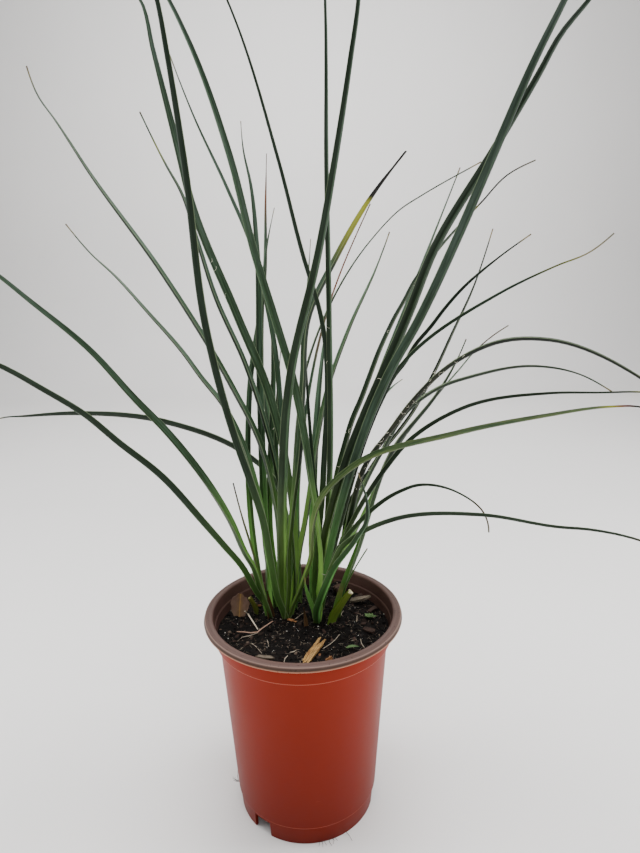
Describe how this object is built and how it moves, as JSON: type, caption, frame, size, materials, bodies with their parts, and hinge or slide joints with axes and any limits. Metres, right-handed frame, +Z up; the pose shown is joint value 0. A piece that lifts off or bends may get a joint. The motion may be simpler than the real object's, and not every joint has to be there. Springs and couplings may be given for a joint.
{
  "type": "potted red yucca",
  "caption": "Young red yucca in a round nursery pot: long, narrow, channelled leaves fan up and arch out from dark potting soil with dry litter on it.",
  "frame": {"origin": "middle of the plant's box at the bottom, which is the middle of the pot's foot on the surface it stands on", "axes": "+Z up along the pot's axis, +X to the right and +Y to the back as seen from the front"},
  "size_m": [0.6002, 0.4123, 0.6981],
  "materials": {
    "pot": "thermoformed polypropylene, brick red outside, satin",
    "soil": "moist peat and bark potting mix, crumbly",
    "leaf": "living leaf, waxy blue-green, semi-matt",
    "cut_leaf": "fleshy yellow-green leaf base, cut across",
    "dry": "dried leaf, papery brown",
    "wood": "split bare wood, dry",
    "bark": "damp bark, dark brown"
  },
  "bodies": {
    "root": {"pot": "pot", "soil": "soil", "leaf_01": "leaf", "leaf_02": "leaf", "leaf_03": "leaf", "leaf_04": "leaf", "leaf_05": "leaf", "leaf_06": "leaf", "leaf_07": "leaf", "leaf_08": "leaf", "leaf_09": "leaf", "leaf_10": "leaf", "leaf_11": "leaf", "leaf_12": "leaf", "leaf_13": "leaf", "leaf_14": "leaf", "leaf_15": "leaf", "leaf_16": "leaf", "leaf_17": "leaf", "leaf_18": "leaf", "leaf_19": "leaf", "leaf_20": "leaf", "leaf_21": "leaf", "leaf_22": "leaf", "leaf_23": "leaf", "leaf_24": "leaf", "leaf_25": "leaf", "leaf_26": "leaf", "leaf_27": "leaf", "leaf_28": "leaf", "leaf_29": "leaf", "leaf_30": "leaf", "leaf_31": "leaf", "leaf_32": "leaf", "leaf_33": "leaf", "leaf_34": "leaf", "leaf_35": "leaf", "leaf_36": "leaf", "leaf_37": "leaf", "leaf_38": "leaf", "leaf_39": "leaf", "leaf_40": "leaf", "leaf_41": "leaf", "leaf_42": "leaf", "leaf_43": "leaf", "leaf_44": "leaf", "leaf_45": "leaf", "leaf_46": "leaf", "dry_sheath_left": "dry", "dry_sheath_middle": "dry", "cut_stub_left": "cut_leaf", "cut_stub_right": "cut_leaf", "twig": "wood", "dead_leaf_stalk": "wood", "dead_leaf": "dry", "wood_splinter": "wood", "bark_chip_right": "bark", "bark_chip_back": "bark", "bark_chip_front": "bark"}
  },
  "joints": []
}
